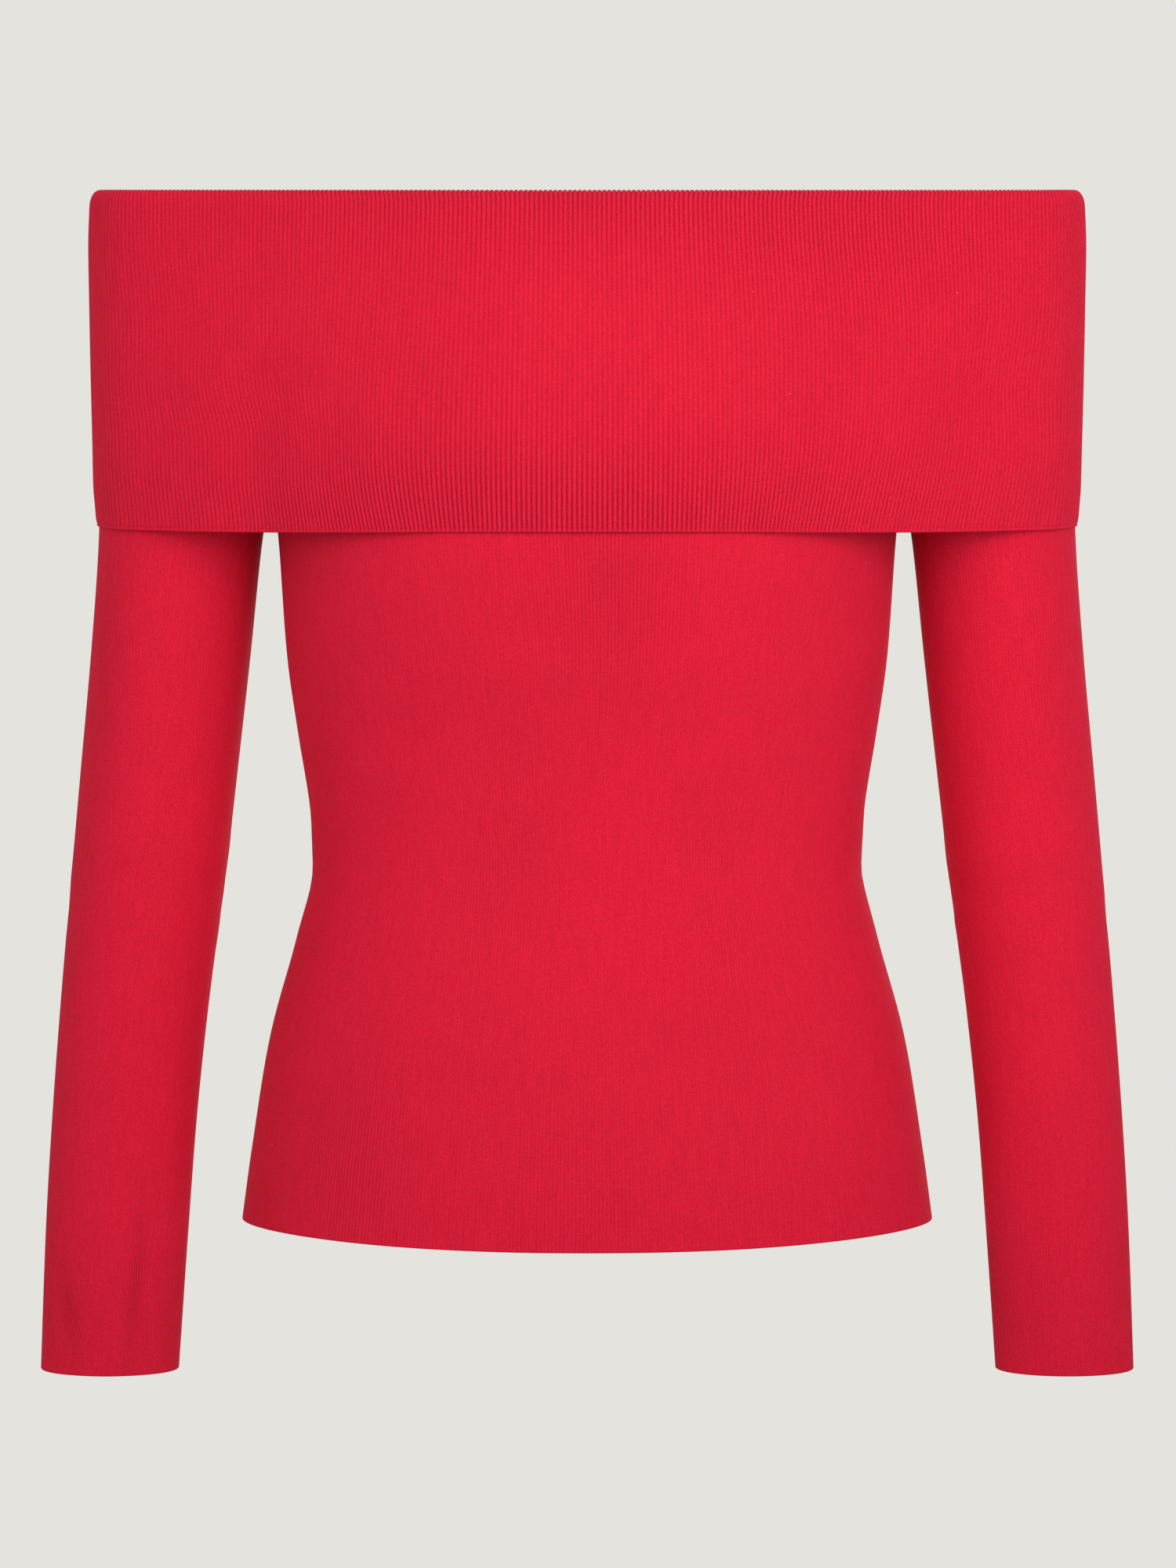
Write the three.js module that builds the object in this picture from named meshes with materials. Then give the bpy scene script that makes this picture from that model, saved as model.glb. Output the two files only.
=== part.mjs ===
// An off-shoulder top in fine rib knit, in the hollow form it has when worn.
// Millimetres, +Z up, the front faces -Y. The origin is the middle of the band's top opening,
// at the height of its fold over the arms, where the wearer holds the garment up.
//
// A level is a height at the garment's sides. The band slopes down towards the front and the hem
// dips there, so a point's real height is its level plus a small drop that depends on its depth.
import * as THREE from "three";

// Knit and seams
const WALL = 1.5;
const SEAM_GAP = 0.3;
const RED = 0xd2173a;
const ROUGHNESS = 0.9;

// Levels
const BAND_EDGE = -150.4;
const NECK_SEAM = -62;
const UNDERARM = -126;
const HEM = -459.2;
const CUFF = -524;

// The band's slope towards the front, which is less behind the middle than before it, and the
// share of it that is left further down. The band's lower edge sags between chest and arm.
const BAND_SLOPE = 0.075;
const BAND_SLOPE_CHANGE = 0.037;
const BAND_SLOPE_ROUNDING = 12;
const BAND_SAG = 1.4;
const SLOPE_LEFT = [
  { level: 0, share: 1 },
  { level: BAND_EDGE, share: 0.66 },
  { level: -300, share: 0 },
];

// Dips of the hem and slope of the cuffs, which start at the waist and the elbow
const DIPS_START_AT = -300;
const HEM_DIP_FRONT = 7;
const HEM_DIP_BACK = 3;
const CUFF_SLOPE = -0.06;

// Sections of the body: half width, and depth before and behind the middle
const BODY = [
  { level: 0, halfWidth: 140.5, front: 93, back: 96 },
  { level: -60, halfWidth: 140.5, front: 109, back: 100 },
  { level: UNDERARM, halfWidth: 140.5, front: 117.2, back: 100 },
  { level: -158, halfWidth: 137.4, front: 116.8, back: 98 },
  { level: -209, halfWidth: 133.7, front: 104, back: 94 },
  { level: -243, halfWidth: 128.9, front: 93, back: 89 },
  { level: -276, halfWidth: 123.6, front: 86, back: 85 },
  { level: -297, halfWidth: 122.2, front: 84, back: 84 },
  { level: -318, halfWidth: 125.1, front: 85, back: 87 },
  { level: -335, halfWidth: 129.7, front: 87, back: 91 },
  { level: -377, halfWidth: 141.2, front: 94, back: 103 },
  { level: -427, halfWidth: 149.4, front: 101, back: 111 },
  { level: HEM, halfWidth: 153.8, front: 104, back: 114 },
];
const BODY_SQUARENESS = 2.2;

// Sections of an arm: outer and inner side, depth of the middle, and half depth
const ARM = [
  { level: 0, outer: 217.5, inner: 140.8, middle: 0, halfDepth: 42 },
  { level: UNDERARM, outer: 217.5, inner: 140.8, middle: 0, halfDepth: 44 },
  { level: -158, outer: 218.1, inner: 145.3, middle: 2, halfDepth: 43 },
  { level: -209, outer: 221.9, inner: 150.7, middle: 4.5, halfDepth: 40.5 },
  { level: -259, outer: 226.5, inner: 156.4, middle: 6, halfDepth: 38 },
  { level: -310, outer: 230.9, inner: 162.2, middle: 5, halfDepth: 35.5 },
  { level: -360, outer: 234.8, inner: 168.6, middle: 1, halfDepth: 33 },
  { level: -411, outer: 238, inner: 173.6, middle: -5.5, halfDepth: 30 },
  { level: -461, outer: 240.2, inner: 176.9, middle: -13, halfDepth: 26.5 },
  { level: CUFF, outer: 241.6, inner: 180.6, middle: -22, halfDepth: 22.5 },
];

// The band lies round the smooth hull of chest and arms; a higher tightness follows them closer
const HULL_TIGHTNESS = 24;

// Where the armhole seams meet the neck seam, as a share of the way from the middle to the side
const ARMHOLE_AT_NECK = 0.6;
// How fast an armhole edge, and the middle of a piece, leave the underarm for the neck seam
const EDGE_EASE = 0.6;
const MIDDLE_EASE = 1.9;
const ARMHOLE_ROWS = [1, 0.74, 0.5, 0.3, 0.15, 0.05];

// The fold at the band's top, and how far the inner layer leans in below it
const FOLD_HEIGHT = 8;
const FOLD_FOOT = -8.6;
const FOLD_OUTSIDE = 4.6;
const FOLD_INSIDE = -4.4;
const FOLD_ANGLES = [180, 135, 90, 45, 5];
const LEAN_STARTS_AT = -46;
const INNER_LAYER_ROWS = 2;

// How far the outer face of the band's fall stands off the hull
const FALL = [
  { level: FOLD_FOOT, offset: FOLD_OUTSIDE },
  { level: -24, offset: 5.1 },
  { level: -50, offset: 4.7 },
  { level: -85, offset: 4 },
  { level: -119, offset: 3.1 },
  { level: BAND_EDGE, offset: 2.3 },
];
const FALL_LEVELS = [-58, -106, BAND_EDGE];

// The band's ribs: how many one half has, and how deep the furrows between them are. They are
// raised on the side that shows, from the fold's last step down. The body's and the sleeves' ribs
// are finer and nearly flat, so their walls are plain.
const RIBS = 264;
const FURROW = 0.4;

// Fineness of the grids
const BODY_COLUMNS = 24;
const BODY_ROWS = 11;
const SLEEVE_COLUMNS = 16;
const SLEEVE_ROWS = 10;
const BAND_COLUMNS = 50;

// Angles of a section, seen from above and counted from the right side
const LEFT = -Math.PI;
const FRONT = -Math.PI / 2;
const RIGHT = 0;
const BACK = Math.PI / 2;
const SLOPE_STEP = 1e-4;
const FINE_STEPS = 1440;

const clamp = (value) => Math.min(1, Math.max(0, value));
const mix = (a, b, share) => a + (b - a) * share;
const smooth = (share) => clamp(share) ** 2 * (3 - 2 * clamp(share));

// One column of a table as a smooth function of the level: a cubic between two rows, whose slope at
// a row is that between its neighbours.
function column(table, name) {
  const last = table.length - 1;
  const slopeAt = (row) => {
    const above = table[Math.max(row - 1, 0)];
    const below = table[Math.min(row + 1, last)];
    return (below[name] - above[name]) / (below.level - above.level);
  };
  return (level) => {
    let row = 0;
    while (row < last - 1 && level < table[row + 1].level) {
      row += 1;
    }
    const above = table[row];
    const below = table[row + 1];
    const span = below.level - above.level;
    const t = clamp((level - above.level) / span);
    const leaving = slopeAt(row) * (1 - t);
    const arriving = slopeAt(row + 1) * t;
    return mix(above[name], below[name], smooth(t)) + span * t * (1 - t) * (leaving - arriving);
  };
}

// A column that keeps its value at the underarm all the way up, so that the sides stay apart there.
const sideColumn = (table, name) => (level) => column(table, name)(Math.min(level, UNDERARM));

const bodyHalfWidth = sideColumn(BODY, "halfWidth");
const bodyFront = column(BODY, "front");
const bodyBack = column(BODY, "back");
const armOuter = sideColumn(ARM, "outer");
const armInner = sideColumn(ARM, "inner");
const armMiddle = sideColumn(ARM, "middle");
const armHalfDepth = column(ARM, "halfDepth");
const fallOffset = column(FALL, "offset");
const slopeLeft = column(SLOPE_LEFT, "share");

// A section is given by its support function: how far it reaches in the direction of an angle.
// The body's is that of an ellipse squared off a little, deeper on one side than on the other.
function bodyReach(level) {
  const power = BODY_SQUARENESS / (BODY_SQUARENESS - 1);
  const halfWidth = bodyHalfWidth(level);
  const front = bodyFront(level);
  const back = bodyBack(level);
  return (angle) => {
    const depth = Math.sin(angle) < 0 ? front : back;
    const across = Math.abs(halfWidth * Math.cos(angle)) ** power;
    const along = Math.abs(depth * Math.sin(angle)) ** power;
    return (across + along) ** (1 / power);
  };
}

// The right arm's is that of an ellipse away from the middle.
function armReach(level) {
  const centre = (armOuter(level) + armInner(level)) / 2;
  const halfWidth = (armOuter(level) - armInner(level)) / 2;
  const middle = armMiddle(level);
  const halfDepth = armHalfDepth(level);
  return (angle) => {
    const round = Math.hypot(halfWidth * Math.cos(angle), halfDepth * Math.sin(angle));
    return centre * Math.cos(angle) + middle * Math.sin(angle) + round;
  };
}

// The hull's is the larger of the body's and both arms', rounded where they meet.
function hullReach(level) {
  const body = bodyReach(level);
  const arm = armReach(level);
  return (angle) => {
    const mirrored = Math.cos(angle) < 0 ? Math.PI - angle : angle;
    const arms = Math.max(arm(mirrored), 0);
    const sum = body(angle) ** HULL_TIGHTNESS + arms ** HULL_TIGHTNESS;
    return sum ** (1 / HULL_TIGHTNESS);
  };
}

// The point where a section touches its tangent at an angle, and its outward normal there.
function touch(reach, angle) {
  const slope = (reach(angle + SLOPE_STEP) - reach(angle - SLOPE_STEP)) / (2 * SLOPE_STEP);
  const nx = Math.cos(angle);
  const ny = Math.sin(angle);
  return { x: reach(angle) * nx - slope * ny, y: reach(angle) * ny + slope * nx, nx, ny };
}

// The way along a section from one angle to another: its length, and the angle at a distance.
function walk(reach, from, to) {
  const lengths = [0];
  let before = touch(reach, from);
  for (let i = 1; i <= FINE_STEPS; i += 1) {
    const point = touch(reach, mix(from, to, i / FINE_STEPS));
    lengths.push(lengths[i - 1] + Math.hypot(point.x - before.x, point.y - before.y));
    before = point;
  }
  const angleAt = (distance) => {
    const next = lengths.findIndex((length) => length >= distance);
    const step = Math.max(next - 1, 0);
    const within = (distance - lengths[step]) / (lengths[step + 1] - lengths[step]);
    return mix(from, to, (step + within) / FINE_STEPS);
  };
  return { length: lengths[FINE_STEPS], angleAt };
}

// Evenly spaced points along a section, half a seam gap clear of both ends.
function evenPoints(reach, from, to, count) {
  const way = walk(reach, from, to);
  const start = SEAM_GAP / 2;
  const end = way.length - SEAM_GAP / 2;
  const points = [];
  for (let i = 0; i <= count; i += 1) {
    points.push(touch(reach, way.angleAt(mix(start, end, i / count))));
  }
  return points;
}

// The angle on the right side at which an armhole seam runs, before or behind the arm.
function seamAngle(reach, middle) {
  const way = walk(reach, middle, RIGHT);
  return way.angleAt(way.length * ARMHOLE_AT_NECK);
}

// How much lower or higher a point at this depth is than its level.
function bandDrop(level, y) {
  const rounded = Math.hypot(y, BAND_SLOPE_ROUNDING) - BAND_SLOPE_ROUNDING;
  return (BAND_SLOPE * y - BAND_SLOPE_CHANGE * rounded) * slopeLeft(level);
}

function bodyDrop(level, y) {
  const depth = y < 0 ? bodyFront(level) : bodyBack(level);
  const dip = y < 0 ? HEM_DIP_FRONT : HEM_DIP_BACK;
  const atHem = smooth((level - DIPS_START_AT) / (HEM - DIPS_START_AT));
  return bandDrop(level, y) - dip * (y / depth) ** 2 * atHem;
}

function sleeveDrop(level, y) {
  const atCuff = smooth((level - DIPS_START_AT) / (CUFF - DIPS_START_AT));
  return bandDrop(level, y) + CUFF_SLOPE * (armMiddle(level) - y) * atCuff;
}

// Levels of a piece's rows: close together from the neck seam to the underarm, then even to its end.
function levelsTo(end, rows) {
  const top = NECK_SEAM - SEAM_GAP / 2;
  const upper = ARMHOLE_ROWS.map((share) => mix(UNDERARM, top, share));
  const lower = Array.from({ length: rows + 1 }, (_, i) => mix(UNDERARM, end, i / rows));
  return [...upper, ...lower];
}

// The points of a body or sleeve piece. Below the underarm a row is the piece's own ring. Above it
// the ring passes over into its part of the hull, first at the edges, which run up as armhole seams.
function pieceRows(levels, ringAt, hullPartAt, drop) {
  const outer = [];
  const inner = [];
  for (const level of levels) {
    const ring = ringAt(level);
    const hullPart = hullPartAt(level);
    const up = clamp((level - UNDERARM) / (levels[0] - UNDERARM));
    const points = ring.map((own, i) => {
      const ease = mix(EDGE_EASE, MIDDLE_EASE, Math.sin((Math.PI * i) / (ring.length - 1)));
      const share = up ** ease;
      const [x, y, nx, ny] = ["x", "y", "nx", "ny"].map((key) => mix(own[key], hullPart[i][key], share));
      const thick = WALL / Math.hypot(nx, ny);
      return { x, y, z: level + drop(level, y), inX: x - thick * nx, inY: y - thick * ny };
    });
    outer.push(points.map(({ x, y, z }) => [x, y, z]));
    inner.push(points.map(({ inX, inY, z }) => [inX, inY, z]));
  }
  return { outer, inner };
}

// One half of the body: the front starts at the left side and the back at the right.
function bodyRows(from) {
  const middle = from + Math.PI / 2;
  const ringAt = (level) => evenPoints(bodyReach(level), from, from + Math.PI, BODY_COLUMNS);
  const hullPartAt = (level) => {
    const hull = hullReach(level);
    const toSeam = Math.abs(seamAngle(hull, middle) - middle);
    return evenPoints(hull, middle - toSeam, middle + toSeam, BODY_COLUMNS);
  };
  return pieceRows(levelsTo(HEM, BODY_ROWS), ringAt, hullPartAt, bodyDrop);
}

// The right sleeve: one piece from its underarm seam round the outer arm and back to it.
function sleeveRows() {
  const ringAt = (level) => evenPoints(armReach(level), LEFT, -LEFT, SLEEVE_COLUMNS);
  const hullPartAt = (level) => {
    const hull = hullReach(level);
    const seams = [FRONT, BACK].map((middle) => seamAngle(hull, middle));
    return evenPoints(hull, ...seams, SLEEVE_COLUMNS);
  };
  return pieceRows(levelsTo(CUFF, SLEEVE_ROWS), ringAt, hullPartAt, sleeveDrop);
}

// The band's path in section: up from the neck seam, over the fold, and down the fall. Each step
// has the offset from the hull and the level of the side that shows and of the hidden side.
function bandPath() {
  const path = [];
  for (let i = 0; i < INNER_LAYER_ROWS; i += 1) {
    const level = mix(NECK_SEAM + SEAM_GAP / 2, FOLD_FOOT, i / INNER_LAYER_ROWS);
    const lean = smooth((level - LEAN_STARTS_AT) / (FOLD_FOOT - LEAN_STARTS_AT));
    const offset = mix(-WALL, FOLD_INSIDE, lean);
    path.push({ shown: { offset, level }, hidden: { offset: offset + WALL, level } });
  }
  const centre = (FOLD_OUTSIDE + FOLD_INSIDE) / 2;
  const radius = (FOLD_OUTSIDE - FOLD_INSIDE) / 2;
  for (const degrees of FOLD_ANGLES) {
    const angle = THREE.MathUtils.degToRad(degrees);
    const at = (depth) => ({
      offset: centre + (radius - depth) * Math.cos(angle),
      level: FOLD_FOOT + (FOLD_HEIGHT - depth) * Math.sin(angle),
    });
    path.push({ shown: at(0), hidden: at(WALL), ribbed: degrees === FOLD_ANGLES.at(-1) });
  }
  for (const level of FALL_LEVELS) {
    const offset = fallOffset(level);
    const sag = BAND_SAG * (level / BAND_EDGE) ** 2;
    path.push({ shown: { offset, level, sag }, hidden: { offset: offset - WALL, level, sag }, ribbed: true });
  }
  return path;
}

// A row of the band: points round one half of the hull, moved out by an offset. On a ribbed row
// every second point lies in a furrow.
function bandPoints({ offset, level, sag = 0 }, from, ribbed) {
  const columns = ribbed ? 2 * RIBS : BAND_COLUMNS;
  return evenPoints(hullReach(level), from, from + Math.PI, columns).map((point, i) => {
    const out = ribbed && i % 2 === 0 ? offset - FURROW : offset;
    const x = point.x + out * point.nx;
    const y = point.y + out * point.ny;
    const depth = y < 0 ? bodyFront(level) : bodyBack(level);
    const sagging = sag * Math.sin(Math.PI * clamp(Math.abs(y) / depth));
    return [x, y, level + bandDrop(level, y) - sagging];
  });
}

function bandRows(from) {
  const path = bandPath();
  return {
    outer: path.map(({ shown, ribbed }) => bandPoints(shown, from, ribbed)),
    inner: path.map(({ hidden }) => bandPoints(hidden, from, false)),
  };
}

// A closed wall of cloth between its outer and its inner rows of points.
function clothSolid({ outer, inner }) {
  const positions = [];
  const faces = [];
  const place = (point) => {
    positions.push(...point);
    return positions.length / 3 - 1;
  };
  // Triangles between two rows of points, the first above the second as seen from outside.
  const stitch = (upper, lower) => {
    let i = 0;
    let j = 0;
    while (i < upper.length - 1 || j < lower.length - 1) {
      const nextUpper = (i + 1) / (upper.length - 1);
      const nextLower = (j + 1) / (lower.length - 1);
      if (j < lower.length - 1 && nextLower <= nextUpper) {
        faces.push(upper[i], lower[j], lower[j + 1]);
        j += 1;
      } else {
        faces.push(upper[i], lower[j], upper[i + 1]);
        i += 1;
      }
    }
  };
  const out = outer.map((row) => row.map(place));
  const inn = inner.map((row) => row.map(place));
  const last = out.length - 1;
  for (let row = 0; row < last; row += 1) {
    stitch(out[row], out[row + 1]);
    stitch(inn[row + 1], inn[row]);
  }
  stitch(inn[0], out[0]);
  stitch(out[last], inn[last]);
  stitch(out.map((row) => row[0]), inn.map((row) => row[0]));
  stitch(inn.map((row) => row.at(-1)), out.map((row) => row.at(-1)));
  const geometry = new THREE.BufferGeometry();
  geometry.setAttribute("position", new THREE.Float32BufferAttribute(positions, 3));
  geometry.setIndex(faces);
  geometry.computeVertexNormals();
  return geometry;
}

// The same rows on the other side of the garment.
function mirrored({ outer, inner }) {
  const flip = (rows) => rows.map((row) => row.map(([x, y, z]) => [-x, y, z]).reverse());
  return { outer: flip(outer), inner: flip(inner) };
}

function piece(name, rows) {
  const material = new THREE.MeshStandardMaterial({ color: RED, roughness: ROUGHNESS, metalness: 0 });
  const mesh = new THREE.Mesh(clothSolid(rows), material);
  mesh.name = name;
  return mesh;
}

const top = new THREE.Group();
const rightSleeve = sleeveRows();
top.add(piece("body_front", bodyRows(LEFT)));
top.add(piece("body_back", bodyRows(RIGHT)));
top.add(piece("sleeve_left", mirrored(rightSleeve)));
top.add(piece("sleeve_right", rightSleeve));
top.add(piece("collar_front", bandRows(LEFT)));
top.add(piece("collar_back", bandRows(RIGHT)));

export default top;
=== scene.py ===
# %% [markdown]
# # An off-shoulder top in fine rib knit
#
# The real garment is knitted in 1x1 rib: one wale stands out, the next lies back, all the way
# round. A wide collar band folds over at the top and lies round the chest and both upper arms.
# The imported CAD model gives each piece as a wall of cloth, with simple ribs on the band alone.
# Here every piece gets its ribs, edges, soft waves and yarn, on the same form and in the same
# place.
#
# All lengths below are in millimetres and turn to metres at the last moment, because the
# wales, stitches and walls of a knit are all read in millimetres.

# %% Load the frame
import math

import bpy
import numpy as np
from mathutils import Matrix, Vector


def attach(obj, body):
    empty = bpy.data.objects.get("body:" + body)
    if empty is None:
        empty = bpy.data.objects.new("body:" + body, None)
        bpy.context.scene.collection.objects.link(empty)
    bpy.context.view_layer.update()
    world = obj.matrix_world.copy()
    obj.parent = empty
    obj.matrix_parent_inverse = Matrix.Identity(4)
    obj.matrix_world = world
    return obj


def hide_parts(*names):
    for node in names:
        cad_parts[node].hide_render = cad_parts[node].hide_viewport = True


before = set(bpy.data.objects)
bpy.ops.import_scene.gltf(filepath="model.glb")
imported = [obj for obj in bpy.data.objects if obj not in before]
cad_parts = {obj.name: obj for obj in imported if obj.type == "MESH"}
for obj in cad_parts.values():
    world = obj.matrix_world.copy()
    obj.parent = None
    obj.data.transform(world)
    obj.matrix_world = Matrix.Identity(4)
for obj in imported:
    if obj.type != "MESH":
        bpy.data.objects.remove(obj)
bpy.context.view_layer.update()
MM = 0.001
print(len(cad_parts), "CAD nodes")

# %% [markdown]
# ## Camera
#
# The picture looks level and straight at the front. Its frame is 1500 x 2000 pixels, and one
# pixel is 0.35 mm in the plane through the garment's sides. A long lens from 2.4 m keeps the
# perspective as weak as it is there. Depth of field stays off.

# %% Camera
PIXEL = 0.35
FRAME_HEIGHT = 2000 * PIXEL
CAMERA_DISTANCE = 2400
CAMERA_X = 0.35
CAMERA_Z = -265.65
SENSOR = 36

camera_data = bpy.data.cameras.new("camera")
camera_data.sensor_width = SENSOR
camera_data.lens = SENSOR * CAMERA_DISTANCE / FRAME_HEIGHT
camera_data.dof.use_dof = False
camera = bpy.data.objects.new("camera", camera_data)
camera.location = Vector((CAMERA_X, -CAMERA_DISTANCE, CAMERA_Z)) * MM
camera.rotation_euler = (math.pi / 2, 0, 0)
bpy.context.scene.collection.objects.link(camera)
bpy.context.scene.camera = camera
bpy.context.scene.view_settings.view_transform = "Standard"
print("lens in mm", round(camera_data.lens, 1))

# %% [markdown]
# ## Sections of the worn form
#
# A worn garment takes the form of what it was on: a slim body and two arms, held a little away
# from it. Each table gives that form at some levels, and a smooth curve joins the rows. A level
# is a height at the garment's sides, where the band's fold over the arms is level 0.

# %% Sizes of the knit and its levels
WALL = 1.5
SEAM_GAP = 0.02
BAND_EDGE = -150.4
NECK_SEAM = -62
NECK_HALF_GAP = 0.15
UNDERARM = -126
HEM = -459.2
CUFF = -524

BODY = {
    "level": (0, -60, -126, -158, -209, -243, -276, -297, -318, -335, -377, -427, -459.2),
    "half_width": (140.5, 140.5, 140.5, 137.4, 133.7, 128.9, 123.6, 122.2, 125.1, 129.7, 141.2,
                   149.4, 153.8),
    "front": (93, 109, 117.2, 116.8, 104, 93, 86, 84, 85, 87, 94, 101, 104),
    "back": (96, 100, 100, 98, 94, 89, 85, 84, 87, 91, 103, 111, 114),
}
BODY_SQUARENESS = 2.2
ARM = {
    "level": (0, -126, -158, -209, -259, -310, -360, -411, -461, -524),
    "outer": (217.5, 217.5, 218.1, 221.9, 226.5, 230.9, 234.8, 238, 240.2, 241.6),
    "inner": (140.5, 140.5, 145.3, 150.7, 156.4, 162.2, 168.6, 173.6, 176.9, 180.6),
    "middle": (0, 0, 2, 4.5, 6, 5, 1, -5.5, -13, -22),
    "half_depth": (42, 44, 43, 40.5, 38, 35.5, 33, 30, 26.5, 22.5),
}
HULL_TIGHTNESS = 24


# %% A smooth curve through a table
def smooth(share):
    """Zero below 0, one above 1, and 3 t squared less 2 t cubed between."""
    t = np.clip(share, 0, 1)
    return t * t * (3 - 2 * t)


def blend(a, b, share):
    """a where the share is 0, b where it is 1."""
    return a + (b - a) * share


def column(table, name, level):
    """A cubic between two rows of a table, with the slope of their neighbours at each row."""
    levels = np.array(table["level"], float)
    values = np.array(table[name], float)
    last = len(levels) - 1
    row = np.clip(np.searchsorted(-levels, -np.asarray(level, float)) - 1, 0, last - 1)
    above = np.maximum(np.arange(last + 1) - 1, 0)
    below = np.minimum(np.arange(last + 1) + 1, last)
    slope = (values[below] - values[above]) / (levels[below] - levels[above])
    span = levels[row + 1] - levels[row]
    t = np.clip((level - levels[row]) / span, 0, 1)
    bend = span * t * (1 - t) * (slope[row] * (1 - t) - slope[row + 1] * t)
    return blend(values[row], values[row + 1], smooth(t)) + bend


def side_column(table, name, level):
    """A column that keeps its underarm value all the way up."""
    return column(table, name, np.minimum(level, UNDERARM))


# %% Body, arm and both together
def body_reach(level, angle):
    """How far the body's section reaches in a direction: (|a cos|^p + |d sin|^p)^(1/p), where a
    is the half width and d the depth on that side."""
    power = BODY_SQUARENESS / (BODY_SQUARENESS - 1)
    depth = np.where(np.sin(angle) < 0, column(BODY, "front", level), column(BODY, "back", level))
    across = np.abs(side_column(BODY, "half_width", level) * np.cos(angle)) ** power
    along = np.abs(depth * np.sin(angle)) ** power
    return (across + along) ** (1 / power)


def arm_reach(level, angle):
    """The right arm's reach: that of an ellipse round its own middle."""
    outer = side_column(ARM, "outer", level)
    inner = side_column(ARM, "inner", level)
    round_reach = np.hypot((outer - inner) / 2 * np.cos(angle),
                           column(ARM, "half_depth", level) * np.sin(angle))
    middle = side_column(ARM, "middle", level)
    return (outer + inner) / 2 * np.cos(angle) + middle * np.sin(angle) + round_reach


def hull_reach(level, angle):
    """The larger of the body's and both arms' reach, rounded where they meet: the 24th root of
    the sum of both to the 24th power."""
    mirrored = np.where(np.cos(angle) < 0, math.pi - angle, angle)
    arms = np.maximum(arm_reach(level, mirrored), 0)
    total = body_reach(level, angle) ** HULL_TIGHTNESS + arms ** HULL_TIGHTNESS
    return total ** (1 / HULL_TIGHTNESS)


# %% [markdown]
# ## Walking along a section
#
# A knit has the same number of wales from top to bottom, spread evenly along the arc. So each
# row of points is placed by its way along the section, and not by its angle. Where the cloth
# was pulled a little to one side, a lean moves the wales along the arc, and they bow.

# %% Points spread along a section
SLOPE_STEP = 1e-4
FINE_STEPS = 1200
LEAN_FADES_OVER = 40


def touch(reach, level, angle):
    """Where a section touches its tangent, and its outward normal: reach times the normal plus
    the reach's slope times the tangent."""
    slope = (reach(level, angle + SLOPE_STEP) - reach(level, angle - SLOPE_STEP)) / (2 * SLOPE_STEP)
    nx, ny = np.cos(angle), np.sin(angle)
    far = reach(level, angle)
    return far * nx - slope * ny, far * ny + slope * nx, nx, ny


def walk(reach, level, start, end):
    """Fine steps along each level's section: their angles and the way walked up to each."""
    share = np.linspace(0, 1, FINE_STEPS + 1)
    angle = np.reshape(start, (-1, 1)) + np.reshape(np.subtract(end, start), (-1, 1)) * share
    x, y, _, _ = touch(reach, level[:, None], angle)
    steps = np.hypot(np.diff(x, axis=1), np.diff(y, axis=1))
    way = np.hstack([np.zeros((len(level), 1)), np.cumsum(steps, axis=1)])
    return np.broadcast_to(angle, way.shape), way


def spread(reach, level, start, end, share, lean=None):
    """Points at shares of the way along each level's section, half a seam gap clear of both
    ends. A lean moves them by so many millimetres along it, and fades out towards the ends."""
    angle, way = walk(reach, level, start, end)
    length = way[:, -1:]
    along = SEAM_GAP / 2 + share * (length - SEAM_GAP)
    if lean is not None:
        ends = np.minimum(share, 1 - share) * length / LEAN_FADES_OVER
        along = along + lean(along - length / 2, level[:, None]) * smooth(ends)
    found = np.array([np.interp(a, w, g) for a, w, g in zip(along, way, angle)])
    return touch(reach, level[:, None], found), along - length / 2


# %% [markdown]
# ## Drops
#
# The band sits lower in front than behind, and its lower edge sags between chest and arms. The
# hem dips at the middle, and the cuffs are cut a little slanted. Each of these moves a point up
# or down from its level by an amount that depends on its depth.

# %% Drops of the band, the hem and the cuffs
BAND_SLOPE = 0.075
BAND_SLOPE_CHANGE = 0.037
BAND_SLOPE_ROUNDING = 12
BAND_SAG = 1.4
SLOPE_LEFT = {"level": (0, BAND_EDGE, -300), "share": (1, 0.66, 0)}
DIPS_START_AT = -300
HEM_DIP_FRONT = 7
HEM_DIP_BACK = 3
CUFF_SLOPE = -0.06


def depth_at(level, y):
    """The body's depth on the side where y is."""
    return np.where(y < 0, column(BODY, "front", level), column(BODY, "back", level))


def band_drop(level, y):
    """A slope in depth that eases over at the middle, and less of it further down."""
    eased = np.hypot(y, BAND_SLOPE_ROUNDING) - BAND_SLOPE_ROUNDING
    return (BAND_SLOPE * y - BAND_SLOPE_CHANGE * eased) * column(SLOPE_LEFT, "share", level)


def band_sag(level, y):
    """Half a sine wave between the arm's middle and the chest, growing towards the edge."""
    return BAND_SAG * (level / BAND_EDGE) ** 2 * np.sin(math.pi * np.clip(
        np.abs(y) / depth_at(level, y), 0, 1))


def body_drop(level, y):
    """The band's slope above, and below the waist a dip with the square of the depth."""
    dip = np.where(y < 0, HEM_DIP_FRONT, HEM_DIP_BACK)
    at_hem = smooth((level - DIPS_START_AT) / (HEM - DIPS_START_AT))
    return band_drop(level, y) - dip * (y / depth_at(level, y)) ** 2 * at_hem


def sleeve_drop(level, y):
    """The band's slope above, and a slanted cuff below."""
    at_cuff = smooth((level - DIPS_START_AT) / (CUFF - DIPS_START_AT))
    return band_drop(level, y) + CUFF_SLOPE * (side_column(ARM, "middle", level) - y) * at_cuff


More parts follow.
